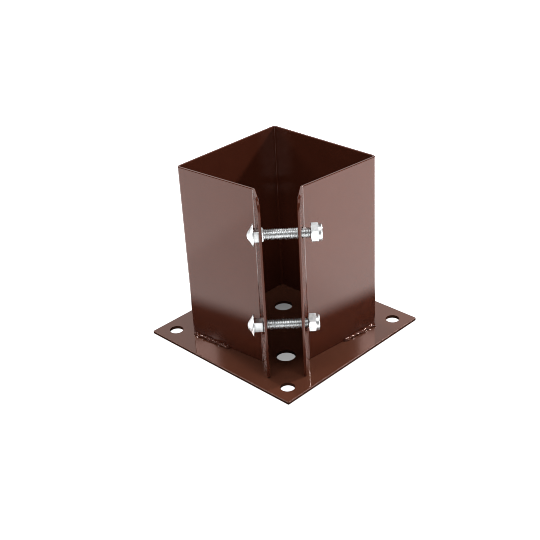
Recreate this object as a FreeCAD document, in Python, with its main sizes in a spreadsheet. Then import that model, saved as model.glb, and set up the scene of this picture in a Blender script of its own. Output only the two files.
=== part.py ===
import FreeCAD, Part
import math
import os
import Sketcher
from FreeCAD import Placement, Rotation, Vector

# Timber post base: a folded collar stitch-welded to a square plate, its open
# corner drawn together on the post by two cup-square bolts with lock nuts.
# The origin is the centre of the plate's underside, +Z is up, the plate's sides
# run along X and Y, and the open corner of the collar looks towards +X -Y.

# Driving dimensions in millimetres and degrees.
SIZES = [
    ("plate_side", 150.0, "square base plate, edge to edge"),
    ("plate_thickness", 2.5, "sheet of the base plate"),
    ("plate_corner", 1.0, "radius at the plate's four corners"),
    ("arris", 0.4, "bevel of sheared edges under the paint"),
    ("anchor_diameter", 11.0, "corner holes, for M10 anchors"),
    ("anchor_spacing", 123.0, "corner holes, centre to centre"),
    ("inner_diameter", 15.0, "holes inside the collar"),
    ("inner_spacing", 53.0, "holes inside the collar, centre to centre"),
    ("inner_shift", 8.0, "centre of the inner holes, along the diagonal"),
    ("collar_inside", 101.0, "between opposite walls, folded square"),
    ("sheet_thickness", 2.0, "sheet of the collar"),
    ("fold_radius", 1.5, "inside radius of every fold"),
    ("collar_height", 144.0, "sheet height of the collar"),
    ("collar_shift", 5.2, "centre of the collar, along the diagonal"),
    ("front_turn", 5.0, "how far the two front walls are folded past square"),
    ("flange_root", 17.5, "outer face of a flange at its fold, from the diagonal"),
    ("flange_turn", 7.7, "how far each flange leans towards the diagonal"),
    ("flange_reach", 70.0, "front edge of the flanges, from the collar's centre"),
    ("flange_top_radius", 9.0, "rounded upper corner of each flange"),
    ("flange_foot_radius", 1.5, "rounded lower corner of each flange"),
    ("bolt_reach", 59.3, "bolt holes, from the collar's centre"),
    ("upper_hole", 114.5, "upper bolt hole, above the collar's foot"),
    ("lower_hole", 41.0, "lower bolt hole, above the collar's foot"),
    ("hole_width", 9.0, "square hole on the left, round hole on the right"),
    ("bolt_diameter", 8.0, "M8 thread over its crests"),
    ("bolt_length", 45.0, "M8 x 45, under the head"),
    ("head_diameter", 16.5, "cup head"),
    ("head_height", 5.0, "cup head"),
    ("head_rim", 0.8, "straight rim of the cup head"),
    ("head_slope", 32.0, "flank of the cup head, from its underside"),
    ("neck_width", 8.0, "square neck, across flats"),
    ("neck_length", 6.5, "square neck"),
    ("upper_head", 18.2, "underside of the upper head, from the diagonal"),
    ("lower_head", 21.9, "underside of the lower head, from the diagonal"),
    ("nut_flats", 13.0, "lock nut, across flats"),
    ("nut_height", 8.0, "lock nut with its collar"),
    ("nut_hexagon", 5.4, "height of the hexagon"),
    ("nut_collar", 12.2, "diameter of the round collar"),
    ("nut_edge", 0.8, "bevel of the collar's rolled edge"),
    ("upper_turn", 29.0, "how far the upper nut is turned on its bolt"),
    ("lower_turn", 25.0, "how far the lower nut is turned on its bolt"),
    ("ring_diameter", 10.0, "nylon ring, outside"),
    ("ring_bore", 7.4, "nylon ring, inside"),
    ("ring_seat", 5.3, "foot of the nylon ring, from the nut's bearing face"),
    ("ring_drop", 0.4, "nylon ring, below the end of the nut"),
    ("weld_leg", 3.4, "leg of the fillet welds"),
    ("weld_bulge", 0.4, "how far the crest of a weld stands out on both sides"),
    ("weld_end", 1.5, "taper at the ends of a weld"),
    ("weld_start", 3.0, "first end of every weld, from the collar's corner"),
    ("weld_left", 38.0, "length of the front left weld"),
    ("weld_right", 35.0, "length of the front right weld"),
    ("weld_rear", 36.0, "length of the two rear welds"),
]

# The open corner lies on this direction, and the bolts run square to it.
DIAGONAL_TURN = -45.0
BOLT_TURN = 45.0
FULL_TURN = 360.0
# Tolerance of tests on edges, search distance for a fold's edge, and how far
# a cutting outline reaches past what it cuts.
TINY = 0.01
NEAR = 0.5
BEYOND = 2.0

doc = FreeCAD.newDocument("timber_post_base")
sheet = doc.addObject("Spreadsheet::Sheet", "sizes")
for row, (alias, value, note) in enumerate(SIZES, start=1):
    sheet.set("A%d" % row, alias.replace("_", " "))
    sheet.set("B%d" % row, str(value))
    sheet.setAlias("B%d" % row, alias)
    sheet.set("C%d" % row, note)
doc.recompute()


def size(alias):
    """Value of one cell of the sheet, as a number."""
    return float(sheet.get(alias))


def cell(text):
    """Expression text in which each {alias} becomes a reference to the sheet."""
    for alias, _, _ in SIZES:
        text = text.replace("{%s}" % alias, "sizes.%s" % alias)
    return text


# Half of the collar's diagonal, over the outer faces of a square fold-up.
HALF_DIAGONAL = "(({collar_inside} + 2 * {sheet_thickness}) / sqrt(2))"
half_diagonal = (size("collar_inside") + 2 * size("sheet_thickness")) / math.sqrt(2)


def new_body(label):
    """Empty body whose label names its file."""
    body = doc.addObject("PartDesign::Body", label)
    body.Label = label
    return body


def new_sketch(body, name, role, height="0"):
    """Sketch on one of the body's own origin planes, raised by an expression."""
    sketch = body.newObject("Sketcher::SketchObject", name)
    plane = [item for item in body.Origin.OriginFeatures if item.Role == role][0]
    sketch.AttachmentSupport = (plane, [""])
    sketch.MapMode = "FlatFace"
    if height != "0":
        sketch.setExpression("AttachmentOffset.Base.z", cell(height))
    return sketch


def new_feature(body, kind, name, **settings):
    """PartDesign feature with plain properties, made the body's tip."""
    feature = body.newObject("PartDesign::" + kind, name)
    for key, value in settings.items():
        setattr(feature, key, value)
    body.Tip = feature
    return feature


def add_outline(sketch, points):
    """Closed outline of straight lines, joined end to start."""
    count = len(points)
    first = sketch.GeometryCount
    for index, point in enumerate(points):
        following = points[(index + 1) % count]
        sketch.addGeometry(Part.LineSegment(Vector(*point, 0), Vector(*following, 0)), False)
    for index in range(count):
        sketch.addConstraint(
            Sketcher.Constraint("Coincident", first + index, 2, first + (index + 1) % count, 1)
        )
    return first


def constrain(sketch, kind, *places, to=None):
    """Add one constraint, and bind its value to an expression if there is one."""
    if to is None:
        sketch.addConstraint(Sketcher.Constraint(kind, *places))
        return
    index = sketch.addConstraint(Sketcher.Constraint(kind, *places, float(sheet.evalExpression(cell(to)))))
    sketch.setExpression("Constraints[%d]" % index, cell(to))


def pin(sketch, line, end, across, along):
    """Hold a point at distances from the origin; a leading minus means the negative side."""
    for kind, distance in (("DistanceX", across), ("DistanceY", along)):
        if distance == "0":
            axis = -2 if kind == "DistanceX" else -1
            sketch.addConstraint(Sketcher.Constraint("PointOnObject", line, end, axis))
        elif distance.startswith("-"):
            constrain(sketch, kind, line, end, -1, 1, to=distance[1:])
        else:
            constrain(sketch, kind, -1, 1, line, end, to=distance)


def add_circle(sketch, centre, diameter, across, along):
    """Circle whose centre and diameter follow expressions."""
    index = sketch.addGeometry(Part.Circle(Vector(*centre, 0), Vector(0, 0, 1), size(diameter) / 2), False)
    constrain(sketch, "Diameter", index, to="{%s}" % diameter)
    pin(sketch, index, 3, across, along)
    return index


def picked_edges(feature, test):
    """Names of the feature's edges that pass a test."""
    return ["Edge%d" % number for number, edge in enumerate(feature.Shape.Edges, start=1) if test(edge)]


def work_edges(body, kind, name, base, test, width):
    """Fillet or Chamfer on the edges of the feature before that pass a test."""
    doc.recompute()
    names = picked_edges(base, test)
    if not names:
        raise RuntimeError("no edges found for " + name)
    worked = new_feature(body, kind, name, Base=(base, names))
    worked.setExpression("Radius" if kind == "Fillet" else "Size", cell(width))
    return worked


def upright_at(x, y):
    """Test for upright edges that pass through one point of the plan."""
    def test(edge):
        box = edge.BoundBox
        flat = box.XLength < TINY and box.YLength < TINY
        return flat and math.hypot(box.XMin - x, box.YMin - y) < NEAR
    return test


def check_cut(before, after, name):
    """Stop if a cut took nothing away."""
    doc.recompute()
    if after.Shape.Volume >= before.Shape.Volume - TINY:
        raise RuntimeError(name + " cuts nothing")


def on_diagonal(forward, sideways, height):
    """Point given along the diagonal to the open corner, across it and up."""
    root = math.sqrt(2)
    return Vector((forward + sideways) / root, (sideways - forward) / root, height)


# Base plate: one square of sheet with four anchor holes near its corners and
# four larger holes inside the collar.
def make_base_plate():
    body = new_body("base_plate")
    half = size("plate_side") / 2
    outline = new_sketch(body, "plate_outline", "XY_Plane")
    first = add_outline(outline, [(-half, -half), (half, -half), (half, half), (-half, half)])
    for index, kind in enumerate(("Horizontal", "Vertical", "Horizontal", "Vertical")):
        constrain(outline, kind, first + index)
    pin(outline, first + 1, 2, "{plate_side} / 2", "{plate_side} / 2")
    pin(outline, first, 1, "-{plate_side} / 2", "-{plate_side} / 2")
    slab = new_feature(body, "Pad", "plate_slab", Profile=outline)
    slab.setExpression("Length", cell("{plate_thickness}"))
    corners = work_edges(
        body, "Fillet", "plate_corners", slab, lambda edge: edge.BoundBox.ZLength > TINY, "{plate_corner}"
    )
    rounded = work_edges(
        body, "Chamfer", "plate_arris", corners, lambda edge: edge.BoundBox.ZLength < TINY, "{arris}"
    )

    anchor = size("anchor_spacing") / 2
    anchor_sketch = new_sketch(body, "anchor_hole_circle", "XY_Plane", "{plate_thickness}")
    quarter = "{anchor_spacing} / 2"
    add_circle(anchor_sketch, (anchor, anchor), "anchor_diameter", quarter, quarter)
    anchor_hole = new_feature(body, "Pocket", "anchor_hole", Profile=anchor_sketch, Type="ThroughAll")
    check_cut(rounded, anchor_hole, "anchor_hole")
    upright = [item for item in body.Origin.OriginFeatures if item.Role == "Z_Axis"][0]
    anchor_holes = new_feature(
        body, "PolarPattern", "anchor_holes", Originals=[anchor_hole], Axis=(upright, [""]),
        Angle=FULL_TURN, Occurrences=4,
    )
    check_cut(anchor_hole, anchor_holes, "anchor_holes")

    inner_sketch = new_sketch(body, "inner_hole_circles", "XY_Plane", "{plate_thickness}")
    shift = size("inner_shift") / math.sqrt(2)
    reach = size("inner_spacing") / 2
    near = "({inner_spacing} / 2 + {inner_shift} / sqrt(2))"
    far = "({inner_spacing} / 2 - {inner_shift} / sqrt(2))"
    for x, across in ((shift + reach, near), (shift - reach, "-" + far)):
        for y, along in ((reach - shift, far), (-shift - reach, "-" + near)):
            add_circle(inner_sketch, (x, y), "inner_diameter", across, along)
    inner_holes = new_feature(body, "Pocket", "inner_holes", Profile=inner_sketch, Type="ThroughAll")
    check_cut(anchor_holes, inner_holes, "inner_holes")
    return body


def collar_corners():
    """Corners of the collar's outer and inner faces on the -Y side, fold by fold."""
    wall_angle = math.radians(45.0 - size("front_turn"))
    flange_angle = math.radians(size("flange_turn"))
    root_x = (half_diagonal - size("flange_root")) * math.tan(wall_angle)
    tip_x = size("flange_reach")
    outer = [
        (tip_x, -size("flange_root") + (tip_x - root_x) * math.tan(flange_angle)),
        (root_x, -size("flange_root")),
        (0.0, -half_diagonal),
        (-half_diagonal, 0.0),
    ]
    normals = [
        Vector(-math.sin(flange_angle), math.cos(flange_angle), 0),
        Vector(-math.cos(wall_angle), math.sin(wall_angle), 0),
        Vector(1, 1, 0).normalize(),
        Vector(1, -1, 0).normalize(),
    ]
    thickness = size("sheet_thickness")
    inner = [(tip_x, outer[0][1] + thickness / math.cos(flange_angle))]
    for corner, before, after in zip(outer[1:], normals, normals[1:]):
        step = (before + after) * (thickness / (1 + before.dot(after)))
        inner.append((corner[0] + step.x, corner[1] + step.y))
    return outer, inner


# Post collar: one strip of sheet folded at three corners of the socket and once
# at the foot of each flange. The two front walls are folded a little past
# square, so that they spring onto the post, and the flanges lean together.
# The body's X axis runs along the diagonal, towards the open corner.
def make_post_collar():
    body = new_body("post_collar")
    outer, inner = collar_corners()
    half_outer = outer + [(x, -y) for x, y in outer[-2::-1]]
    half_inner = inner + [(x, -y) for x, y in inner[-2::-1]]
    profile = new_sketch(body, "collar_section", "XY_Plane")
    add_outline(profile, half_outer + half_inner[::-1])
    folds = len(outer) - 1
    last = 2 * folds
    pin(
        profile, 0, 1, "{flange_reach}",
        "-({flange_root} - ({flange_reach} - (%s - {flange_root}) * tan(45 deg - {front_turn} * 1 deg))"
        " * tan({flange_turn} * 1 deg))" % HALF_DIAGONAL,
    )
    pin(
        profile, 1, 1, "(%s - {flange_root}) * tan(45 deg - {front_turn} * 1 deg)" % HALF_DIAGONAL,
        "-{flange_root}",
    )
    pin(profile, 2, 1, "0", "-" + HALF_DIAGONAL)
    pin(profile, 3, 1, "-" + HALF_DIAGONAL, "0")
    for index in range(folds):
        constrain(profile, "Symmetric", index, 1, last - 1 - index, 2, -1)
    # The inner face runs back from the right flange to the left one.
    first_inner = last + 1
    for index in range(folds):
        inner_line = first_inner + last - 1 - index
        constrain(profile, "Parallel", inner_line, index)
        constrain(profile, "Distance", inner_line, 2, index, to="{sheet_thickness}")
        constrain(profile, "Symmetric", inner_line, 2, first_inner + index, 1, -1)
    constrain(profile, "PointOnObject", first_inner + folds, 1, -1)
    constrain(profile, "Vertical", first_inner + last)
    strip = new_feature(body, "Pad", "collar_strip", Profile=profile)
    strip.setExpression("Length", cell("{collar_height}"))

    def at_any(points):
        tests = [upright_at(x, y) for x, y in points]
        return lambda edge: any(test(edge) for test in tests)

    def both_sides(points):
        return points + [(x, -y) for x, y in points]

    tight = work_edges(
        body, "Fillet", "inside_of_folds", strip, at_any(both_sides(inner[2:] + outer[1:2])),
        "{fold_radius}",
    )
    wide = work_edges(
        body, "Fillet", "outside_of_folds", tight, at_any(both_sides(outer[2:] + inner[1:2])),
        "{fold_radius} + {sheet_thickness}",
    )

    square_sketch = new_sketch(body, "square_holes_outline", "XZ_Plane")
    round_sketch = new_sketch(body, "round_holes_outline", "XZ_Plane")
    half = size("hole_width") / 2
    reach = size("bolt_reach")
    for name in ("upper_hole", "lower_hole"):
        height = size(name)
        first = add_outline(
            square_sketch,
            [
                (reach - half, height - half), (reach + half, height - half),
                (reach + half, height + half), (reach - half, height + half),
            ],
        )
        for index, kind in enumerate(("Horizontal", "Vertical", "Horizontal", "Vertical")):
            constrain(square_sketch, kind, first + index)
        pin(square_sketch, first, 1, "{bolt_reach} - {hole_width} / 2", "{%s} - {hole_width} / 2" % name)
        pin(square_sketch, first + 1, 2, "{bolt_reach} + {hole_width} / 2", "{%s} + {hole_width} / 2" % name)
        add_circle(round_sketch, (reach, height), "hole_width", "{bolt_reach}", "{%s}" % name)
    square_holes = new_feature(
        body, "Pocket", "square_holes", Profile=square_sketch, Type="Length", Reversed=True
    )
    square_holes.setExpression("Length", cell("2 * {flange_root}"))
    check_cut(wide, square_holes, "square_holes")
    round_holes = new_feature(body, "Pocket", "round_holes", Profile=round_sketch, Type="Length")
    round_holes.setExpression("Length", cell("2 * {flange_root}"))
    check_cut(square_holes, round_holes, "round_holes")

    tip = size("flange_reach")
    top = size("collar_height")

    def flange_corner(height):
        def test(edge):
            box = edge.BoundBox
            return box.XMin > tip - TINY and box.ZLength < TINY and abs(box.ZMin - height) < TINY
        return test

    top_corners = work_edges(
        body, "Fillet", "flange_top_corners", round_holes, flange_corner(top), "{flange_top_radius}"
    )
    foot_corners = work_edges(
        body, "Fillet", "flange_foot_corners", top_corners, flange_corner(0.0), "{flange_foot_radius}"
    )
    rounding_start = tip - size("flange_top_radius") - TINY
    plain_top = top - size("flange_top_radius") - TINY

    def sheared(edge):
        box = edge.BoundBox
        level = box.ZLength < TINY and min(abs(box.ZMin), abs(box.ZMin - top)) < TINY
        front = box.XMin > tip - TINY
        corner = box.XMin > rounding_start and box.XLength > TINY and box.ZLength > TINY
        across = box.XLength < TINY and box.ZLength < TINY
        holes = box.ZLength <= size("hole_width") + TINY and TINY < box.ZMin < plain_top
        return (level or front or corner) and not across and not holes

    work_edges(body, "Chamfer", "collar_arris", foot_corners, sheared, "{arris}")
    body.Placement = Placement(
        on_diagonal(size("collar_shift"), 0, size("plate_thickness")),
        Rotation(Vector(0, 0, 1), DIAGONAL_TURN),
    )
    return body


# Cup-square bolt: a head with straight flanks and a rounded nose on a square
# neck, and a plain core of the thread's outer size. The body's X axis is the
# bolt's, from the head's underside to the point.
def make_bolt(label, head_from_diagonal, hole):
    body = new_body(label)
    profile = new_sketch(body, label + "_section", "XY_Plane")
    core = size("bolt_diameter") / 2
    head = size("head_diameter") / 2
    height = size("head_height")
    rim = size("head_rim")
    length = size("bolt_length")
    # The nose is an arc about a point of the axis that runs on into the flank.
    slope = math.radians(size("head_slope"))
    nose_radius = (head * math.tan(slope) - height + rim) / (1 / math.cos(slope) - 1)
    nose_centre = nose_radius - height
    half_way = Vector(-math.cos(slope / 2), math.sin(slope / 2), 0) * nose_radius + Vector(nose_centre, 0, 0)
    nose_end = (nose_centre - nose_radius * math.cos(slope), nose_radius * math.sin(slope))
    corners = [
        (-height, 0.0), (length, 0.0), (length, core), (0.0, core), (0.0, head), (-rim, head), nose_end,
    ]
    for start, end in zip(corners, corners[1:]):
        profile.addGeometry(Part.LineSegment(Vector(*start, 0), Vector(*end, 0)), False)
    profile.addGeometry(Part.Arc(Vector(*nose_end, 0), half_way, Vector(-height, 0, 0)), False)
    nose = len(corners) - 1
    for index in range(nose - 1):
        constrain(profile, "Coincident", index, 2, index + 1, 1)
    constrain(profile, "Coincident", nose, 2, 0, 1)
    # An arc runs anticlockwise, so its first end is on the flank.
    constrain(profile, "Tangent", nose - 1, 2, nose, 1)
    constrain(profile, "PointOnObject", nose, 3, -1)
    constrain(
        profile, "Radius", nose,
        to="({head_diameter} / 2 * tan({head_slope} * 1 deg) - {head_height} + {head_rim})"
        " / (1 / cos({head_slope} * 1 deg) - 1)",
    )
    pin(profile, 0, 1, "-{head_height}", "0")
    pin(profile, 1, 1, "{bolt_length}", "0")
    pin(profile, 2, 1, "{bolt_length}", "{bolt_diameter} / 2")
    pin(profile, 3, 1, "0", "{bolt_diameter} / 2")
    pin(profile, 4, 1, "0", "{head_diameter} / 2")
    pin(profile, 5, 1, "-{head_rim}", "{head_diameter} / 2")
    new_feature(
        body, "Revolution", label + "_turned", Profile=profile, ReferenceAxis=(profile, ["H_Axis"]),
        Angle=FULL_TURN,
    )
    half = size("neck_width") / 2
    square = new_sketch(body, label + "_neck_outline", "YZ_Plane")
    first = add_outline(square, [(-half, -half), (half, -half), (half, half), (-half, half)])
    for index, kind in enumerate(("Horizontal", "Vertical", "Horizontal", "Vertical")):
        constrain(square, kind, first + index)
    pin(square, first + 1, 2, "{neck_width} / 2", "{neck_width} / 2")
    pin(square, first, 1, "-{neck_width} / 2", "-{neck_width} / 2")
    neck = new_feature(body, "Pad", label + "_neck", Profile=square)
    neck.setExpression("Length", cell("{neck_length}"))
    # The bolt hangs in its holes: neck and thread rest on their lower edges.
    drop = (size("hole_width") - size("bolt_diameter")) / 2
    body.Placement = Placement(
        on_diagonal(
            size("collar_shift") + size("bolt_reach"),
            -size(head_from_diagonal),
            size("plate_thickness") + size(hole) - drop,
        ),
        Rotation(Vector(0, 0, 1), BOLT_TURN),
    )
    return body


# Where a nut stands on its bolt: the bolt's point reaches the foot of the
# nylon ring, and the nut is turned about the bolt's axis.
def nut_placement(bolt, turn):
    along = size("bolt_length") - size("ring_seat")
    return bolt.Placement * Placement(Vector(along, 0, 0), Rotation(Vector(1, 0, 0), size(turn)))


# Lock nut: a chamfered hexagon with a round collar whose rolled edge holds the
# nylon ring. The body's X axis is the nut's, from its bearing face.
def make_nut(label, bolt, turn):
    body = new_body(label)
    outline = new_sketch(body, label + "_hexagon_outline", "YZ_Plane")
    corner = size("nut_flats") / math.sqrt(3)
    points = [
        (corner * math.cos(math.radians(60 * k)), corner * math.sin(math.radians(60 * k))) for k in range(6)
    ]
    first = add_outline(outline, points)
    pin(outline, first, 1, "{nut_flats} / sqrt(3)", "0")
    pin(outline, first + 3, 1, "-{nut_flats} / sqrt(3)", "0")
    for index, (x, y) in ((1, ("", "")), (2, ("-", "")), (4, ("-", "-")), (5, ("", "-"))):
        pin(outline, first + index, 1, x + "{nut_flats} / sqrt(12)", y + "{nut_flats} / 2")
    hexagon = new_feature(body, "Pad", label + "_hexagon", Profile=outline)
    hexagon.setExpression("Length", cell("{nut_hexagon}"))

    # Chamfers at 30 degrees cut the hexagon's corners down to its flats.
    flat = size("nut_flats") / 2
    height = size("nut_hexagon")
    rise = "(({nut_flats} / sqrt(3) + %s - {nut_flats} / 2) * tan(30 deg))" % BEYOND
    depth = (corner + BEYOND - flat) * math.tan(math.radians(30))
    cuts = new_sketch(body, label + "_chamfer_outline", "XY_Plane")
    lower = add_outline(cuts, [(0, flat), (depth, corner + BEYOND), (0, corner + BEYOND)])
    upper = add_outline(cuts, [(height, flat), (height, corner + BEYOND), (height - depth, corner + BEYOND)])
    outside = "{nut_flats} / sqrt(3) + %s" % BEYOND
    for line, across, along in (
        (lower, "0", "{nut_flats} / 2"), (lower + 1, rise, outside), (lower + 2, "0", outside),
        (upper, "{nut_hexagon}", "{nut_flats} / 2"), (upper + 1, "{nut_hexagon}", outside),
        (upper + 2, "{nut_hexagon} - " + rise, outside),
    ):
        pin(cuts, line, 1, across, along)
    chamfers = new_feature(
        body, "Groove", label + "_chamfers", Profile=cuts, ReferenceAxis=(cuts, ["H_Axis"]), Angle=FULL_TURN
    )
    check_cut(hexagon, chamfers, label + "_chamfers")

    sleeve = new_sketch(body, label + "_collar_outline", "XY_Plane")
    total = size("nut_height")
    edge = size("nut_edge")
    foot = height / 2
    first = add_outline(
        sleeve,
        [
            (foot, 0), (total, 0), (total, size("nut_collar") / 2 - edge),
            (total - edge, size("nut_collar") / 2), (foot, size("nut_collar") / 2),
        ],
    )
    for index, across, along in (
        (0, "{nut_hexagon} / 2", "0"), (1, "{nut_height}", "0"),
        (2, "{nut_height}", "{nut_collar} / 2 - {nut_edge}"),
        (3, "{nut_height} - {nut_edge}", "{nut_collar} / 2"), (4, "{nut_hexagon} / 2", "{nut_collar} / 2"),
    ):
        pin(sleeve, first + index, 1, across, along)
    collar = new_feature(
        body, "Revolution", label + "_collar", Profile=sleeve, ReferenceAxis=(sleeve, ["H_Axis"]),
        Angle=FULL_TURN,
    )

    # Bore for the thread and wider seat for the ring.
    bore = new_sketch(body, label + "_bore_outline", "XY_Plane")
    seat = size("ring_seat")
    steps = [
        (0.0, 0.0), (total, 0.0), (total, size("ring_diameter") / 2), (seat, size("ring_diameter") / 2),
        (seat, size("bolt_diameter") / 2), (0.0, size("bolt_diameter") / 2),
    ]
    first = add_outline(bore, steps)
    for index, across, along in (
        (0, "0", "0"), (1, "{nut_height}", "0"), (2, "{nut_height}", "{ring_diameter} / 2"),
        (3, "{ring_seat}", "{ring_diameter} / 2"), (4, "{ring_seat}", "{bolt_diameter} / 2"),
        (5, "0", "{bolt_diameter} / 2"),
    ):
        pin(bore, first + index, 1, across, along)
    bored = new_feature(
        body, "Groove", label + "_bore", Profile=bore, ReferenceAxis=(bore, ["H_Axis"]), Angle=FULL_TURN
    )
    check_cut(collar, bored, label + "_bore")
    body.Placement = nut_placement(bolt, turn)
    return body


# Nylon ring: the insert that grips the thread, held in the nut's collar.
def make_nut_ring(label, bolt, turn):
    body = new_body(label)
    section = new_sketch(body, label + "_section", "XY_Plane")
    seat = size("ring_seat")
    top = size("nut_height") - size("ring_drop")
    inside = size("ring_bore") / 2
    outside = size("ring_diameter") / 2
    first = add_outline(section, [(seat, inside), (top, inside), (top, outside), (seat, outside)])
    end = "{nut_height} - {ring_drop}"
    for index, across, along in (
        (0, "{ring_seat}", "{ring_bore} / 2"), (1, end, "{ring_bore} / 2"),
        (2, end, "{ring_diameter} / 2"), (3, "{ring_seat}", "{ring_diameter} / 2"),
    ):
        pin(section, first + index, 1, across, along)
    new_feature(
        body, "Revolution", label + "_turned", Profile=section, ReferenceAxis=(section, ["H_Axis"]),
        Angle=FULL_TURN,
    )
    body.Placement = nut_placement(bolt, turn)
    return body


# Fillet weld: a bead in the angle between plate and wall, with a crest along
# its face. The body's X axis runs along the bead, and Y away from the wall.
def make_weld(label, length, start, heading):
    body = new_body(label)
    leg = size("weld_leg")
    bulge = size("weld_bulge")
    section = new_sketch(body, label + "_section", "YZ_Plane")
    crest = leg / 2 + bulge
    add_outline(section, [(0, 0), (leg, 0), (crest, crest), (0, leg)])
    out = "{weld_leg} / 2 + {weld_bulge}"
    for index, across, along in (
        (0, "0", "0"), (1, "{weld_leg}", "0"), (2, out, out), (3, "0", "{weld_leg}"),
    ):
        pin(section, index, 1, across, along)
    bead = new_feature(body, "Pad", label + "_bead", Profile=section)
    bead.setExpression("Length", cell("{%s}" % length))

    def at_end(edge):
        box = edge.BoundBox
        return box.XLength < TINY and box.YLength > TINY and box.ZLength > TINY

    work_edges(body, "Chamfer", label + "_ends", bead, at_end, "{weld_end}")
    body.Placement = Placement(start, Rotation(Vector(0, 0, 1), heading))
    return body


def make_welds():
    """Stitches beside the left and right corners of the collar, on both sides of each."""
    height = size("plate_thickness")
    shift = size("collar_shift")
    skip = size("weld_start")
    front = math.radians(45.0 - size("front_turn"))
    side = 1.0 / math.sqrt(2)

    def from_corner(sign, forward, inward):
        return on_diagonal(shift + forward, sign * (half_diagonal - inward), height)

    left_far = skip + size("weld_left")
    make_weld(
        "weld_front_left", "weld_left",
        from_corner(-1, left_far * math.sin(front), left_far * math.cos(front)),
        180.0 + size("front_turn"),
    )
    make_weld(
        "weld_front_right", "weld_right",
        from_corner(1, skip * math.sin(front), skip * math.cos(front)),
        -90.0 - size("front_turn"),
    )
    make_weld("weld_rear_left", "weld_rear", from_corner(-1, -skip * side, skip * side), 90.0)
    rear_far = skip + size("weld_rear")
    make_weld("weld_rear_right", "weld_rear", from_corner(1, -rear_far * side, rear_far * side), 0.0)


make_base_plate()
make_post_collar()
for level in ("upper", "lower"):
    bolt = make_bolt(level + "_bolt", level + "_head", level + "_hole")
    make_nut(level + "_nut", bolt, level + "_turn")
    make_nut_ring(level + "_nut_ring", bolt, level + "_turn")
make_welds()
doc.recompute()

for item in doc.Objects:
    if "Invalid" in item.State or "Error" in item.State:
        raise RuntimeError("failed feature: " + item.Name)
bodies = [item for item in doc.Objects if item.TypeId == "PartDesign::Body"]
for body in bodies:
    if body.Shape.isNull() or not body.Shape.isValid() or len(body.Shape.Solids) != 1:
        raise RuntimeError("bad shape: " + body.Label)
os.makedirs("parts", exist_ok=True)
for body in bodies:
    body.Shape.exportStep("parts/%s.step" % body.Label)
    print("%-18s volume %9.1f" % (body.Label, body.Shape.Volume))
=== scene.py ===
import math
import bmesh
import bpy
import numpy as np
from mathutils import Matrix, Vector


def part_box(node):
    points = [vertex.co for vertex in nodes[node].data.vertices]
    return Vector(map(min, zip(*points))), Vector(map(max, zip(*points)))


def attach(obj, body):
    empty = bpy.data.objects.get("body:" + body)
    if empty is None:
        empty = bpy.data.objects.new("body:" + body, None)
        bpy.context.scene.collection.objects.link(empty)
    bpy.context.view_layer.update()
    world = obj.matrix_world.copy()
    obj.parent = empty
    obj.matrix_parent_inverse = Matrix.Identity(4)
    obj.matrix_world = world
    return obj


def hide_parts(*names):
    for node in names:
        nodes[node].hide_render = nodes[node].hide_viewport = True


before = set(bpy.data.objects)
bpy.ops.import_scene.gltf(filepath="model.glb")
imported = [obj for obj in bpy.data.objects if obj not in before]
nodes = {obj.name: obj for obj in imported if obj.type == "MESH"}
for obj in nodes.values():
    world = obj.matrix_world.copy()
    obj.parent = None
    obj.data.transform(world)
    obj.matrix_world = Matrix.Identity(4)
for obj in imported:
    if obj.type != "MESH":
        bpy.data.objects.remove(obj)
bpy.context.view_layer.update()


# Camera. The base stands on the floor with its open corner towards the lens,
# which looks down on it from a little over 0.8 m away.
CAMERA_PLACE = Vector((0.49351, -0.49381, 0.43639))
CAMERA_AZIMUTH = math.radians(45.73)
CAMERA_ELEVATION = math.radians(28.78)
CAMERA_ROLL = math.radians(-3.27)
FOCAL_IN_PIXELS = 1019.15
PHOTO_SIDE = 540.0
SENSOR_WIDTH = 36.0
CLIP_START = 0.05
CLIP_END = 50.0

back = Vector((
    math.sin(CAMERA_AZIMUTH) * math.cos(CAMERA_ELEVATION),
    -math.cos(CAMERA_AZIMUTH) * math.cos(CAMERA_ELEVATION),
    math.sin(CAMERA_ELEVATION),
))
level_right = (-back).cross(Vector((0, 0, 1))).normalized()
level_up = back.cross(level_right)
right = math.cos(CAMERA_ROLL) * level_right + math.sin(CAMERA_ROLL) * level_up
up = -math.sin(CAMERA_ROLL) * level_right + math.cos(CAMERA_ROLL) * level_up
lens = bpy.data.cameras.new("lens")
lens.sensor_width = SENSOR_WIDTH
lens.lens = FOCAL_IN_PIXELS / PHOTO_SIDE * SENSOR_WIDTH
lens.clip_start = CLIP_START
lens.clip_end = CLIP_END
camera = bpy.data.objects.new("camera", lens)
turn = Matrix((right, up, back)).transposed().to_4x4()
camera.matrix_world = Matrix.Translation(CAMERA_PLACE) @ turn
bpy.context.scene.collection.objects.link(camera)
bpy.context.scene.camera = camera


# Floor and studio light. The base stands on a white table, in front of a white
# backdrop. The table is dark in a square under the base, and beyond it glows as
# painted light of the lamps on the floor. A softbox hangs at each side, two small
# lamps shine from the rear, and a ceiling panel and two soft lamps at the front
# fill in.
FLOOR_SIDE = 12.0
FLOOR_DROP = 0.0002
# A dark square on the table under the base, which the lens still sees as white.
DARK_SQUARE_HALF = 0.102
DARK_SQUARE_EDGE = 0.012
DARK_SQUARE_GREY = 0.03
TABLE_GREY = 0.85
TABLE_ROUGHNESS = 0.9
TABLE_GLOW = 1.1
# The table's glowing is painted light of the lamps on the floor: brighter to the right, dimmer to the
# left in the base's shadow.
PAINTED_LIGHT_SPAN = 0.25
PAINTED_LIGHT_LEFT = 0.63
PAINTED_LIGHT_RIGHT = 1.18
LENS_SIDE_EDGE = 0.2
FLANK_SLOPE = 0.25
FLANK_EDGE = (0.085, 0.125)
FLANK_GAIN = 2.2
COLLAR_HALF = 0.047
COLLAR_EDGE = 0.001
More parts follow.
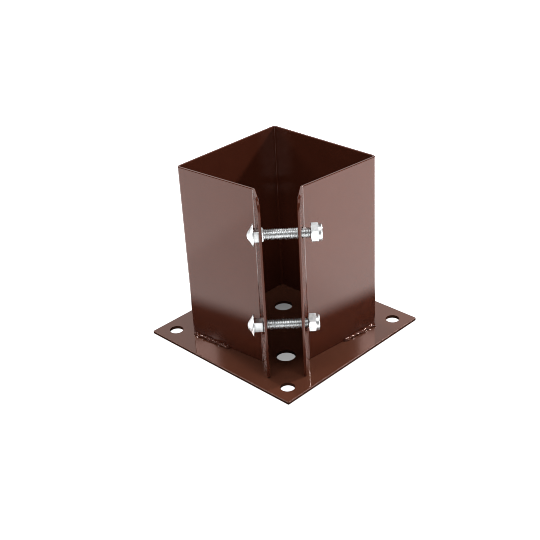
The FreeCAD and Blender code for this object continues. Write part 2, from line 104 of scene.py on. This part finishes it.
# Painted shade of the collar on the table under the inner holes, seen only by the lens.
SHADE = 0.79
SHADE_SLOPE = 1.42
ROOM_COLOUR = (1.0, 0.99, 0.97, 1)
ROOM_LIGHT = 0.15
ROOM_SEEN = 1.0
PIXEL_FILTER = 0.9


def new_mesh_object(name, vertices, faces):
    """Object at the origin from an array of vertices and a list of faces."""
    mesh = bpy.data.meshes.new(name)
    mesh.from_pydata(np.asarray(vertices).tolist(), [], faces)
    mesh.update()
    item = bpy.data.objects.new(name, mesh)
    bpy.context.scene.collection.objects.link(item)
    return item


def new_material(name):
    """Material with a Principled shader, its node tree and the shader."""
    material = bpy.data.materials.new(name)
    material.use_nodes = True
    tree = material.node_tree
    return material, tree, tree.nodes["Principled BSDF"]


def feed(tree, socket, value):
    """Link another node's output to a socket, or give it a value."""
    if isinstance(value, bpy.types.NodeSocket):
        tree.links.new(value, socket)
    else:
        socket.default_value = value


def calculate(tree, operation, *values):
    """Output of a Math node."""
    node = tree.nodes.new("ShaderNodeMath")
    node.operation = operation
    for socket, value in zip(node.inputs, values):
        feed(tree, socket, value)
    return node.outputs[0]


def map_range(tree, value, source, target=(0.0, 1.0), kind="LINEAR"):
    """Output of a Map Range node from one range of values to another."""
    node = tree.nodes.new("ShaderNodeMapRange")
    node.interpolation_type = kind
    for label, limit in zip(("From Min", "From Max", "To Min", "To Max"), source + target):
        node.inputs[label].default_value = limit
    tree.links.new(value, node.inputs["Value"])
    return node.outputs["Result"]


def smooth_step(tree, value, low, high):
    """Mask that rises from 0 to 1 between two values, or falls where low is the larger."""
    return map_range(tree, value, (low, high), kind="SMOOTHSTEP")


def square_place(tree):
    """Place on the object: x, y, and the larger of |x| and |y|."""
    place = tree.nodes.new("ShaderNodeTexCoord")
    split = tree.nodes.new("ShaderNodeSeparateXYZ")
    tree.links.new(place.outputs["Object"], split.inputs[0])
    x, y = split.outputs["X"], split.outputs["Y"]
    reach = calculate(tree, "MAXIMUM", calculate(tree, "ABSOLUTE", x), calculate(tree, "ABSOLUTE", y))
    return x, y, reach


def make_table():
    """White table with a dark square under the base, and painted light beyond it.

    Forward, towards the lens, is x - y, and rightward is x + y. The dark square
    has a soft edge. Beyond it the table glows as painted light of the lamps on
    the floor: more to the right, which the lamps light, than to the left, which
    lies in the base's shadow; none in the quarter towards the lens, and most in
    a wedge at either side of that quarter. The lens sees the table and the dark
    square as white, apart from what the plate's inner holes show: painted shade
    of the collar, darker towards the rear.
    """
    material, tree, shader = new_material("white_table")
    x, y, reach = square_place(tree)
    forward = calculate(tree, "SUBTRACT", x, y)
    rightward = calculate(tree, "ADD", x, y)
    aside = calculate(tree, "ABSOLUTE", rightward)

    off_dark_square = smooth_step(tree, reach, DARK_SQUARE_HALF - DARK_SQUARE_EDGE, DARK_SQUARE_HALF + DARK_SQUARE_EDGE)
    off_lens_side = smooth_step(tree, calculate(tree, "SUBTRACT", forward, aside), LENS_SIDE_EDGE, 0.0)
    # Painted pool of light in a wedge at either side of the quarter towards the lens.
    flank = smooth_step(tree, calculate(tree, "MULTIPLY_ADD", aside, -FLANK_SLOPE, forward), *FLANK_EDGE)
    flank_gain = calculate(tree, "MULTIPLY_ADD", flank, FLANK_GAIN, 1.0)
    # Painted light and shadow: brighter to the right, where the lamps light the floor, dimmer to the
    # left in the base's shadow.
    painted_side_light = map_range(tree, rightward, (-PAINTED_LIGHT_SPAN, PAINTED_LIGHT_SPAN), (PAINTED_LIGHT_LEFT, PAINTED_LIGHT_RIGHT))
    painted_light = off_dark_square
    for share in (off_lens_side, painted_side_light, flank_gain):
        painted_light = calculate(tree, "MULTIPLY", painted_light, share)

    # Painted shade of the collar under the plate's inner holes, for the lens only, darker towards the
    # rear.
    in_collar = smooth_step(tree, reach, COLLAR_HALF + COLLAR_EDGE, COLLAR_HALF)
    shade = calculate(tree, "MULTIPLY_ADD", forward, SHADE_SLOPE, -SHADE)
    white = calculate(tree, "MULTIPLY_ADD", in_collar, shade, 1.0)
    eye = tree.nodes.new("ShaderNodeLightPath").outputs["Is Camera Ray"]
    seen = calculate(tree, "MULTIPLY", eye, white)

    tree.links.new(calculate(tree, "MAXIMUM", painted_light, seen), shader.inputs["Emission Color"])
    grey = map_range(tree, off_dark_square, (0.0, 1.0), (DARK_SQUARE_GREY, TABLE_GREY))
    tree.links.new(grey, shader.inputs["Base Color"])
    shader.inputs["Emission Strength"].default_value = TABLE_GLOW
    shader.inputs["Roughness"].default_value = TABLE_ROUGHNESS
    shader.inputs["Specular IOR Level"].default_value = 0.0
    return material


def make_room():
    """World with a weak, nearly white light, which the lens sees as white."""
    room = bpy.data.worlds.new("room")
    room.use_nodes = True
    tree = room.node_tree
    light = tree.nodes["Background"]
    light.inputs["Color"].default_value = ROOM_COLOUR
    eye = tree.nodes.new("ShaderNodeLightPath").outputs["Is Camera Ray"]
    strength = calculate(tree, "MULTIPLY_ADD", eye, ROOM_SEEN, ROOM_LIGHT)
    tree.links.new(strength, light.inputs["Strength"])
    return room


half_floor = FLOOR_SIDE / 2
floor = new_mesh_object(
    "floor",
    [(-half_floor, -half_floor, -FLOOR_DROP), (half_floor, -half_floor, -FLOOR_DROP),
     (half_floor, half_floor, -FLOOR_DROP), (-half_floor, half_floor, -FLOOR_DROP)],
    [(0, 1, 2, 3)],
)
floor.data.materials.append(make_table())
bpy.context.scene.world = make_room()
bpy.context.scene.view_settings.view_transform = "Standard"
bpy.context.scene.cycles.filter_width = PIXEL_FILTER


def studio_place(forward, rightward, height):
    """Point in the studio, counted from the base's middle as the lens sees it."""
    diagonal = math.sqrt(2)
    return Vector(((forward + rightward) / diagonal, (rightward - forward) / diagonal, height))


def add_panel(name, place, aim, width, tall, radiance):
    """Rectangular lamp with the same radiance all over, turned towards a point."""
    data = bpy.data.lights.new(name, "AREA")
    data.shape = "RECTANGLE"
    data.size = width
    data.size_y = tall
    data.energy = radiance * math.pi * width * tall
    lamp = bpy.data.objects.new(name, data)
    lamp.location = studio_place(*place)
    lamp.rotation_mode = "QUATERNION"
    lamp.rotation_quaternion = (studio_place(*aim) - lamp.location).to_track_quat("-Z", "Y")
    bpy.context.scene.collection.objects.link(lamp)


# Each row: name, place, the point it is aimed at, width, height and radiance. The
# places count forward to the lens, to its right, and up.
for panel in (
    ("backdrop", (-2.2, 0.0, 0.8), (0.0, 0.0, 0.8), 4.4, 1.6, 1.0),
    ("left_softbox", (-0.1585, -1.3, 0.835), (-0.1585, 0.0, 0.835), 0.6, 0.09, 25.0),
    ("right_softbox", (-0.173, 1.3, 0.835), (-0.173, 0.0, 0.835), 0.6, 0.09, 28.0),
    ("left_lamp", (-0.92, -0.92, 0.99), (0.0, 0.0, 0.07), 0.2, 0.2, 170.0),
    ("right_lamp", (-0.54, 1.18, 0.98), (0.0, 0.0, 0.07), 0.12, 0.12, 600.0),
    ("ceiling", (0.45, 0.0, 1.5), (0.0, 0.0, 0.0), 0.9, 0.9, 2.3),
    ("left_fill", (0.6, -0.6, 1.15), (0.0, 0.0, 0.0), 0.4, 0.4, 13.0),
    ("right_fill", (0.6, 0.6, 1.15), (0.0, 0.0, 0.0), 0.4, 0.4, 13.0),
):
    add_panel(*panel)


# Base plate. A square of 2.5 mm steel sheet with punched holes, painted a dark
# reddish brown after welding. The paint is a glossy film with a faint ripple,
# duller on the plate's cut edge.
PAINT_IOR = 1.52
PAINT_TINT = (1.0, 0.69, 0.62, 1)
CLOUD_SCALE = 28.0
CLOUD_DETAIL = 3.0
GRAIN_SCALE = 2600.0
GRAIN_SHARE = 0.45
COLOUR_SPAN = (0.35, 0.65)
CLOUD_ROUGHNESS = 0.04
RIPPLE_SCALE = 300.0
FINE_RIPPLE_SCALE = 1400.0
FINE_RIPPLE_SHARE = 0.1
RIPPLE_DETAIL = 1.0
RIPPLE_DEPTH = 0.0003
# The plate's brown is the lit copy of the one paint, which the walls and welds take in a darker, shaded
# copy.
PLATE_DEEP = (0.058, 0.0195, 0.0112, 1)
PLATE_LIGHT = (0.068, 0.0235, 0.0135, 1)
PLATE_RIPPLE = 0.004
PLATE_ROUGHNESS = 0.02
RIM_WIDTH = 0.0007
RIM_ROUGHNESS = 0.35


def mix(tree, kind, factor, first, second):
    """Output of a Mix node for numbers or colours."""
    node = tree.nodes.new("ShaderNodeMix")
    node.data_type = kind
    for label, value in (("Factor", factor), ("A", first), ("B", second)):
        feed(tree, node.inputs[label], value)
    return node.outputs["Result"]


def noise(tree, scale, detail=2.0):
    """Output of a Noise node that follows the object."""
    texture = tree.nodes.new("ShaderNodeTexNoise")
    texture.inputs["Scale"].default_value = scale
    texture.inputs["Detail"].default_value = detail
    place = tree.nodes.new("ShaderNodeTexCoord")
    tree.links.new(place.outputs["Object"], texture.inputs["Vector"])
    return texture.outputs["Fac"]


def bump(tree, depth, strength, height):
    """Normal output of a Bump node."""
    node = tree.nodes.new("ShaderNodeBump")
    for label, value in (("Distance", depth), ("Strength", strength), ("Height", height)):
        feed(tree, node.inputs[label], value)
    return node.outputs["Normal"]


def new_film_group(name, inputs):
    """Node group with the given inputs, which puts out Color, Roughness and Normal.

    The sockets inside it are returned too: what it is given, and its results.
    """
    group = bpy.data.node_groups.new(name, "ShaderNodeTree")
    outputs = {"Color": "NodeSocketColor", "Roughness": "NodeSocketFloat", "Normal": "NodeSocketVector"}
    for label, kind in inputs.items():
        group.interface.new_socket(name=label, in_out="INPUT", socket_type=kind)
    for label, kind in outputs.items():
        group.interface.new_socket(name=label, in_out="OUTPUT", socket_type=kind)
    return group, group.nodes.new("NodeGroupInput").outputs, group.nodes.new("NodeGroupOutput").inputs


def filmed_material(name, group, values):
    """Material whose colour, roughness and normal come from a film group, with its shader."""
    material, tree, shader = new_material(name)
    film = tree.nodes.new("ShaderNodeGroup")
    film.node_tree = group
    for label, value in values.items():
        film.inputs[label].default_value = value
    for label, target in (("Color", "Base Color"), ("Roughness", "Roughness"), ("Normal", "Normal")):
        tree.links.new(film.outputs[label], shader.inputs[target])
    return material, shader


def build_paint_film():
    """Node group: colour, roughness and normal of the paint from its place on the piece.

    Colour runs between two browns by a broad cloud plus a fine grain. The cloud
    also varies the roughness a little. The normal is a ripple of about 3 mm with
    a finer one of 0.7 mm on top.
    """
    group, given, result = new_film_group("paint_film", {
        "Deep": "NodeSocketColor", "Light": "NodeSocketColor",
        "Ripple": "NodeSocketFloat", "Roughness": "NodeSocketFloat",
    })
    cloud = noise(group, CLOUD_SCALE, CLOUD_DETAIL)
    grain = noise(group, GRAIN_SCALE)
    shade = map_range(group, mix(group, "FLOAT", GRAIN_SHARE, cloud, grain), COLOUR_SPAN)
    feed(group, result["Color"], mix(group, "RGBA", shade, given["Deep"], given["Light"]))
    roughness = calculate(group, "MULTIPLY_ADD", cloud, CLOUD_ROUGHNESS, given["Roughness"])
    feed(group, result["Roughness"], roughness)
    broad = noise(group, RIPPLE_SCALE, RIPPLE_DETAIL)
    fine = noise(group, FINE_RIPPLE_SCALE, RIPPLE_DETAIL)
    ripple = calculate(group, "MULTIPLY_ADD", fine, FINE_RIPPLE_SHARE, broad)
    feed(group, result["Normal"], bump(group, RIPPLE_DEPTH, given["Ripple"], ripple))
    return group


paint_film = build_paint_film()


def make_paint(name, ripple, roughness, deep, light):
    """Glossy brown paint from the shared film group, on a plain Principled shader."""
    values = {"Ripple": ripple, "Roughness": roughness, "Deep": deep, "Light": light}
    material, shader = filmed_material(name, paint_film, values)
    shader.inputs["IOR"].default_value = PAINT_IOR
    shader.inputs["Specular Tint"].default_value = PAINT_TINT
    return material


def roughen_rim(material, half, roughness):
    """Rougher film outside a square of the given half side, on the plate's cut edge."""
    tree = material.node_tree
    socket = tree.nodes["Principled BSDF"].inputs["Roughness"]
    film = socket.links[0].from_socket
    rim = calculate(tree, "GREATER_THAN", square_place(tree)[2], half)
    tree.links.new(mix(tree, "FLOAT", rim, film, roughness), socket)


def dress(item, material):
    """Give a node or piece one material."""
    item.data.materials.clear()
    item.data.materials.append(material)


plate_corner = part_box("base_plate")[1]
plate_paint = make_paint("plate_paint", PLATE_RIPPLE, PLATE_ROUGHNESS, PLATE_DEEP, PLATE_LIGHT)
roughen_rim(plate_paint, plate_corner.x - RIM_WIDTH, RIM_ROUGHNESS)
dress(nodes["base_plate"], plate_paint)


# Post collar. One strip of 2 mm sheet folded round the post, with its ends
# turned out as flanges. It is painted with the plate, in the same film, but its
# brown is darker and redder than the plate's: painted shade, for the less light
# the walls catch.
# The walls' darker brown is painted shade, against the plate's lighter copy of the same paint.
WALL_SHADED_DEEP = (0.043, 0.0104, 0.0054, 1)
WALL_SHADED_LIGHT = (0.052, 0.013, 0.0068, 1)
WALL_RIPPLE = 0.004
WALL_ROUGHNESS = 0.04

wall_paint = make_paint("wall_paint", WALL_RIPPLE, WALL_ROUGHNESS, WALL_SHADED_DEEP, WALL_SHADED_LIGHT)
dress(nodes["post_collar"], wall_paint)


# Welds. Each is a short hand-laid bead in the angle between the plate and a
# wall, lumpy along its length and covered by the paint.
WELD_LEG = 0.002
WELD_STEP = 0.00025
WELD_COLUMNS = 17
WELD_END = 0.0016
WELD_FOOT = 0.0002
SECTION_POWER = 0.9
LUMP_SPACING = 0.0011
LUMP_WIDTH = (0.0006, 0.0015)
LUMP_TURN = (0.1, 1.45)
LUMP_HEIGHT = (-0.2, 0.42)
LUMP_SPREAD = 0.45
SWELL_LIMITS = (0.55, 1.45)
# Two waves of the leg: the share of the leg, and the length of one radian.
WANDERS = ((0.1, 0.0021), (0.12, 0.0009))
WANDER_RISE = -0.6
FIRST_SEED = 3
FOOT_MARGIN = 1e-5
WELD_RIPPLE = 0.1
WELD_ROUGHNESS = 0.06
UPRIGHT = np.array([0.0, 0.0, 1.0])


def closed_grid(rows, columns, start=0):
    """Faces of a tube of rows x columns points, closed round and capped at both ends.

    The tube's first point has the number start.
    """
    row = start + np.arange(rows - 1)[:, None] * columns
    column = np.arange(columns)
    following = (column + 1) % columns
    quads = np.stack(
        [row + column, row + following, row + columns + following, row + columns + column], axis=-1
    )
    first = np.arange(start, start + columns)
    last = first + (rows - 1) * columns
    return quads.reshape(-1, 4).tolist() + [first[::-1].tolist(), last.tolist()]


def weld_bead(name, start, along, away, length, seed):
    """Bead along a line, between a wall and the plate.

    Across, its face is a quarter of a superellipse from the plate to the wall.
    The face swells by a sum of lumps, each a bell curve of random width, place
    and height. Two waves make the leg wander along the line, and both ends run
    down to a thin foot as the square root of the distance.
    """
    rows = int(length / WELD_STEP)
    distance = np.linspace(0.0, length, rows)[:, None]
    angle = np.linspace(0.0, np.pi / 2, WELD_COLUMNS)
    pick = np.random.default_rng(seed)
    count = int(length / LUMP_SPACING)
    middle = pick.uniform(0.0, length, count)
    width = pick.uniform(*LUMP_WIDTH, count)
    turn = pick.uniform(*LUMP_TURN, count)
    height = pick.uniform(*LUMP_HEIGHT, count)
    from_middle = (distance[..., None] - middle) / width
    from_turn = (angle[:, None] - turn) / LUMP_SPREAD
    lumps = (height * np.exp(-from_middle**2 - from_turn**2)).sum(axis=-1)
    phases = pick.uniform(0.0, 2 * np.pi, len(WANDERS))
    wander = sum(
        share * np.sin(distance / wave + phase) for (share, wave), phase in zip(WANDERS, phases)
    )
    ends = np.clip(np.minimum(distance, length - distance) / WELD_END, 0.0, 1.0) ** 0.5
    swell = ends * np.clip(1.0 + lumps, *SWELL_LIMITS)
    leg = WELD_LEG * (1.0 + wander) * swell + WELD_FOOT
    rise = WELD_LEG * (1.0 + WANDER_RISE * wander) * swell + WELD_FOOT
    out = leg * np.cos(angle) ** SECTION_POWER
    high = rise * np.sin(angle) ** SECTION_POWER
    # A last column at the root closes the section behind its face.
    out, high = (np.pad(form, ((0, 0), (0, 1)))[..., None] for form in (out, high))
    points = start + distance[..., None] * along + out * away + high * UPRIGHT
    return new_mesh_object(name, points.reshape(-1, 3), closed_grid(rows, WELD_COLUMNS + 1))


def corner_points(node):
    """Corners of a solid, one row each."""
    vertices = nodes[node].data.vertices
    places = np.empty(len(vertices) * 3, dtype=np.float32)
    vertices.foreach_get("co", places)
    return places.reshape(-1, 3).astype(float)


def weld_line(node):
    """Start of a weld's root, its directions along and away from the wall, and its length.

    The directions are the main axes of the solid's foot on the plate.
    """
    points = corner_points(node)
    foot = points[points[:, 2] < plate_corner.z + FOOT_MARGIN]
    middle = foot.mean(axis=0)
    axes = np.linalg.svd(foot[:, :2] - middle[:2])[2]
    along, away = np.pad(axes, ((0, 0), (0, 1)))
    if away @ middle < 0:
        away = -away
    run = (points - middle) @ along
    length = run.max() - run.min()
    start = middle + along * run.min() + away * ((foot - middle) @ away).min()
    start[2] = plate_corner.z
    if np.cross(along, away)[2] > 0:
        start = start + along * length
        along = -along
    return start, along, away, length


# The welds take the walls' darker brown, painted shade.
weld_paint = make_paint("weld_paint", WELD_RIPPLE, WELD_ROUGHNESS, WALL_SHADED_DEEP, WALL_SHADED_LIGHT)
welds = ("weld_front_left", "weld_front_right", "weld_rear_left", "weld_rear_right")
for seed, node in enumerate(welds, FIRST_SEED):
    bead = weld_bead(node + "_bead", *weld_line(node), seed)
    bead.data.shade_smooth()
    dress(bead, weld_paint)
    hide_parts(node)
    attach(bead, "root")


# Cup-square bolts. Cold-headed steel with a rolled M8 thread, bright zinc
# plated: a pointed cup head, a square neck and a thread of 1.25 mm pitch.
HEAD_RADIUS = 0.00825
HEAD_HEIGHT = 0.005
HEAD_HOLLOW = 0.00018
HEAD_RIM = 0.0008
RIM_ROUND = 0.0002
UNDERSIDE_RADIUS = HEAD_RADIUS - 0.0003
POLE_RADIUS = 1e-5
NOSE_DEGREES = (2, 32)
RIM_DEGREES = (20, 160)
NOSE_POINTS = 10
FLANK_POINTS = 8
RIM_POINTS = 6
HEAD_AROUND = 96
NECK_SIDE = 0.008
NECK_LENGTH = 0.0065
NECK_ROUND = 0.0006
NECK_OVERLAP = 0.0002
NECK_BEVEL = 0.0005
NECK_END = 0.93
CORNER_POINTS = 4
THREAD_PITCH = 0.00125
THREAD_CREST = 0.004
THREAD_ROOT = 0.00327
CREST_SHARE = 0.125
FLANK_SHARE = 0.625
THREAD_OVERLAP = 0.0003
THREAD_RUNOUT = 0.0016
POINT_RADIUS = 0.0029
THREAD_ROWS = 8
THREAD_AROUND = 56
MERGE_DISTANCE = 1e-6
SHARP_ANGLE = math.radians(25)
BOLT_ALONG = np.array([1.0, 1.0, 0.0]) / math.sqrt(2)
BOLT_SIDE = np.array([1.0, -1.0, 0.0]) / math.sqrt(2)
ZINC_DEEP = (0.58, 0.6, 0.61, 1)
ZINC_LIGHT = (0.76, 0.77, 0.77, 1)
ZINC_SPAN = (0.3, 0.7)
ZINC_CLOUD_SCALE = 420.0
ZINC_CLOUD_DETAIL = 4.0
ZINC_CLOUD_ROUGHNESS = 0.16
ZINC_ROUGHNESS = 0.28
ZINC_GRAIN_SCALE = 1500.0
ZINC_GRAIN_DEPTH = 0.0001
BOLT_GRAIN = 0.15


def axial_grid(axial, across, upward):
    """Grid of points from their places along the bolt's axis, across it and upward."""
    return np.stack(np.broadcast_arrays(axial, across, upward), axis=-1)


def bolt_head():
    """Cup head, turned from a profile of axial places and radii.

    The profile is an arc for the nose, a slightly hollow flank that goes on from
    it and flares to a thin rim, and a flat underside.
    """
    nose = np.radians(np.linspace(*NOSE_DEGREES, NOSE_POINTS))
    slope = nose[-1]
    nose_radius = (HEAD_RADIUS * math.tan(slope) - HEAD_HEIGHT + HEAD_RIM) / (1 / math.cos(slope) - 1)
    nose_axial = nose_radius * (1 - np.cos(nose)) - HEAD_HEIGHT
    nose_across = nose_radius * np.sin(nose)
    share = np.linspace(0, 1, FLANK_POINTS + 1)[1:]
    flank_axial = nose_axial[-1] + (-HEAD_RIM - nose_axial[-1]) * share
    flank_axial += HEAD_HOLLOW * np.sin(np.pi * share)
    flank_across = nose_across[-1] + (HEAD_RADIUS - RIM_ROUND - nose_across[-1]) * share
    rim = np.radians(np.linspace(*RIM_DEGREES, RIM_POINTS))
    rim_axial = -HEAD_RIM / 2 * (1 + np.cos(rim))
    rim_across = HEAD_RADIUS - RIM_ROUND * (1 - np.sin(rim))
    axial = np.concatenate([[-HEAD_HEIGHT], nose_axial, flank_axial, rim_axial, [0.0, 0.0]])
    radius = np.concatenate(
        [[POLE_RADIUS], nose_across, flank_across, rim_across, [UNDERSIDE_RADIUS, POLE_RADIUS]]
    )
    angle = np.arange(HEAD_AROUND) * 2 * np.pi / HEAD_AROUND
    return axial_grid(axial[:, None], radius[:, None] * np.cos(angle), radius[:, None] * np.sin(angle))


def bolt_neck():
    """Square neck, from just inside the head to the thread.

    The section is a square with a quarter circle at each corner. It keeps its
    size along the axis, and shrinks over a short bevel at the thread.
    """
    centre = (NECK_SIDE / 2 - NECK_ROUND) * np.array([[1, 1], [-1, 1], [-1, -1], [1, -1]])
    turn = np.radians(np.linspace(0, 90, CORNER_POINTS)) + np.arange(4)[:, None] * np.pi / 2
    across = (centre[:, :1] + NECK_ROUND * np.cos(turn)).ravel()
    upward = (centre[:, 1:] + NECK_ROUND * np.sin(turn)).ravel()
    axial = np.array([-NECK_OVERLAP, 0.0, NECK_LENGTH - NECK_BEVEL, NECK_LENGTH])[:, None]
    size = np.array([1.0, 1.0, 1.0, NECK_END])[:, None]
    return axial_grid(axial, across * size, upward * size)


def bolt_thread(length):
    """Thread: a sheared grid whose rows follow the helix, so that crests stay sharp.

    Each row keeps one phase of the profile, a trapezoid between root and crest.
    It rises out of a plain shank at the neck and is cut back by a cone at the
    point. Going once round shifts a row by one pitch.
    """
    start = NECK_LENGTH - THREAD_OVERLAP
    turns = math.ceil((length - start) / THREAD_PITCH) + 2
    row = np.arange(-THREAD_ROWS, turns * THREAD_ROWS)[:, None]
    column = np.arange(THREAD_AROUND)
    phase = (row % THREAD_ROWS) / THREAD_ROWS
    crest = 1 - np.clip((np.abs(phase - 0.5) * 2 - CREST_SHARE) / FLANK_SHARE, 0, 1)
    helix = start + THREAD_PITCH * (row / THREAD_ROWS + column / THREAD_AROUND)
    axial = np.clip(helix, start, length)
    depth = THREAD_CREST - THREAD_ROOT
    shank = THREAD_CREST - depth * np.clip((axial - start) / THREAD_RUNOUT, 0, 1)
    radius = np.maximum(THREAD_ROOT + depth * crest, shank)
    radius = np.minimum(radius, POINT_RADIUS + (length - axial))
    angle = column * 2 * np.pi / THREAD_AROUND
    first = np.arange(len(row) - 1 - THREAD_ROWS)[:, None] * THREAD_AROUND
    here = first + column
    beyond = np.where(column + 1 < THREAD_AROUND, here + 1, first + THREAD_ROWS * THREAD_AROUND)
    quads = np.stack([here, beyond, beyond + THREAD_AROUND, here + THREAD_AROUND], axis=-1)
    return axial_grid(axial, radius * np.cos(angle), radius * np.sin(angle)), quads.reshape(-1, 4)


def close_mesh(item, distance):
    """Merge doubled points, fill open ends and turn every face outwards."""
    net = bmesh.new()
    net.from_mesh(item.data)
    bmesh.ops.remove_doubles(net, verts=net.verts, dist=distance)
    bmesh.ops.dissolve_degenerate(net, edges=net.edges, dist=distance)
    bmesh.ops.holes_fill(net, edges=net.edges, sides=0)
    bmesh.ops.recalc_face_normals(net, faces=net.faces)
    net.to_mesh(item.data)
    net.free()


def threaded_bolt(name, origin, length):
    """Head, neck and thread as one mesh, with the head's underside at the origin."""
    head, neck = bolt_head(), bolt_neck()
    thread, thread_faces = bolt_thread(length)
    head_count, neck_count = head.size // 3, neck.size // 3
    faces = closed_grid(*head.shape[:2]) + closed_grid(*neck.shape[:2], head_count)
    faces += (thread_faces + head_count + neck_count).tolist()
    local = np.concatenate([part.reshape(-1, 3) for part in (head, neck, thread)])
    places = origin + local[:, :1] * BOLT_ALONG + local[:, 1:2] * BOLT_SIDE + local[:, 2:] * UPRIGHT
    bolt = new_mesh_object(name, places, faces)
    close_mesh(bolt, MERGE_DISTANCE)
    bolt.data.shade_smooth()
    bolt.data.set_sharp_from_angle(angle=SHARP_ANGLE)
    return bolt


def bolt_place(node):
    """Head's underside on the bolt's axis, and the bolt's length under its head."""
    points = corner_points(node)
    run, side, level = points @ BOLT_ALONG, points @ BOLT_SIDE, points[:, 2]
    seat = run.min() + HEAD_HEIGHT
    across = (side.min() + side.max()) / 2
    height = (level.min() + level.max()) / 2
    return seat * BOLT_ALONG + across * BOLT_SIDE + height * UPRIGHT, run.max() - seat


def colour_ramp(tree, value, first, second, span=(0.0, 1.0)):
    """Output of a Color Ramp node between two colours."""
    node = tree.nodes.new("ShaderNodeValToRGB")
    for stop, place, colour in zip(node.color_ramp.elements, span, (first, second)):
        stop.position = place
        stop.color = colour
    tree.links.new(value, node.inputs["Fac"])
    return node.outputs["Color"]


def build_zinc_plate():
    """Node group: colour, roughness and normal of bright zinc plate.

    A fine cloud varies the grey and the roughness, and a shallow grain breaks up
    the reflections.
    """
    group, given, result = new_film_group("zinc_plate", {"Grain": "NodeSocketFloat"})
    cloud = noise(group, ZINC_CLOUD_SCALE, ZINC_CLOUD_DETAIL)
    feed(group, result["Color"], colour_ramp(group, cloud, ZINC_DEEP, ZINC_LIGHT, ZINC_SPAN))
    roughness = calculate(group, "MULTIPLY_ADD", cloud, ZINC_CLOUD_ROUGHNESS, ZINC_ROUGHNESS)
    feed(group, result["Roughness"], roughness)
    grain = noise(group, ZINC_GRAIN_SCALE)
    feed(group, result["Normal"], bump(group, ZINC_GRAIN_DEPTH, given["Grain"], grain))
    return group


zinc_plate = build_zinc_plate()


def make_zinc(name, grain):
    """Bright zinc plate on a plain metallic shader."""
    material, shader = filmed_material(name, zinc_plate, {"Grain": grain})
    shader.inputs["Metallic"].default_value = 1.0
    return material


bolt_zinc = make_zinc("bolt_zinc", BOLT_GRAIN)
for level in ("upper", "lower"):
    bolt = threaded_bolt(level + "_threaded_bolt", *bolt_place(level + "_bolt"))
    dress(bolt, bolt_zinc)
    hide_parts(level + "_bolt")
    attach(bolt, "root")


# Lock nuts. M8 hexagons with a round collar, zinc plated, chamfered at both
# ends. Each is only started on its bolt, up to the foot of its nylon ring.
NUT_GRAIN = 0.1

nut_zinc = make_zinc("nut_zinc", NUT_GRAIN)
for level in ("upper", "lower"):
    dress(nodes[level + "_nut"], nut_zinc)


# Nylon rings. Pale rings pressed into the nuts' collars, which grip the thread
# when the nut is run up.
NYLON_DEEP = (0.62, 0.66, 0.7, 1)
NYLON_LIGHT = (0.78, 0.8, 0.82, 1)
NYLON_CLOUD_SCALE = 600.0
NYLON_ROUGHNESS = 0.4
NYLON_SCATTER = 0.1


def make_nylon():
    """Pale nylon with a faint cloud in its colour."""
    material, tree, shader = new_material("ring_nylon")
    colour = colour_ramp(tree, noise(tree, NYLON_CLOUD_SCALE), NYLON_DEEP, NYLON_LIGHT)
    tree.links.new(colour, shader.inputs["Base Color"])
    shader.inputs["Roughness"].default_value = NYLON_ROUGHNESS
    shader.inputs["Subsurface Weight"].default_value = NYLON_SCATTER
    return material


ring_nylon = make_nylon()
for level in ("upper", "lower"):
    dress(nodes[level + "_nut_ring"], ring_nylon)
